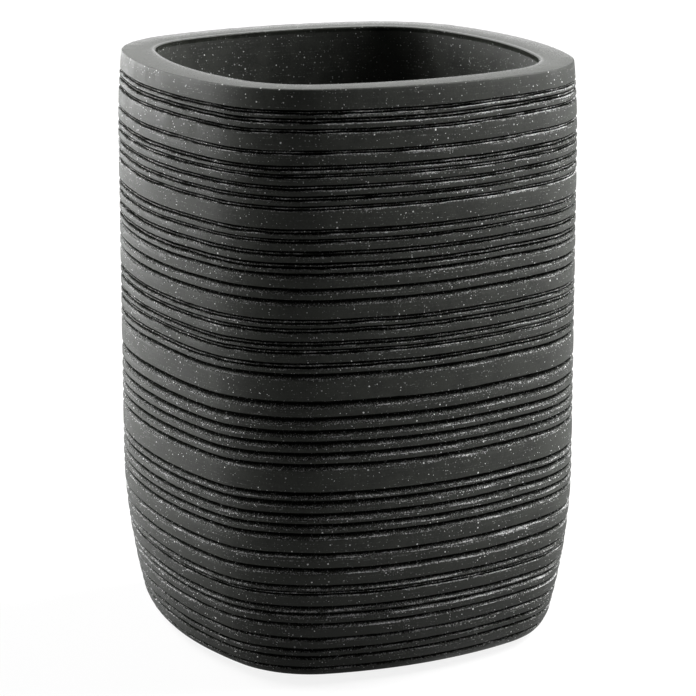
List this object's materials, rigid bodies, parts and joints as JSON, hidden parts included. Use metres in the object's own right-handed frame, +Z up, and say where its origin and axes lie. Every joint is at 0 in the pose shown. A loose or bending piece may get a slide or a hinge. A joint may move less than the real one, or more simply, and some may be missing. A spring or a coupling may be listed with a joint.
{
  "type": "bathroom tumbler",
  "caption": "Heavy square-round cast tumbler with bowed, horizontally combed walls and a soft pad under its foot, for holding toothbrushes or rinsing water at a washbasin.",
  "frame": {"origin": "middle of the pad's underside, on the surface that the tumbler stands on", "axes": "+Z up through the mouth; the four bowed sides face -X, +X, -Y and +Y"},
  "size_m": [0.0764, 0.0764, 0.1055],
  "materials": {
    "cast_resin": "stone-filled resin cast through its full thickness, charcoal with fine pale specks, satin-matt, rougher in the combed grooves",
    "adhesive_film": "thin pressure-sensitive adhesive film, cream, hidden between the pad and the body",
    "pad_foam": "die-cut closed-cell foam rubber, matt black with a fine cell texture"
  },
  "bodies": {
    "root": {"tumbler_body": "cast_resin", "pad_adhesive": "adhesive_film", "base_pad": "pad_foam"}
  },
  "joints": []
}
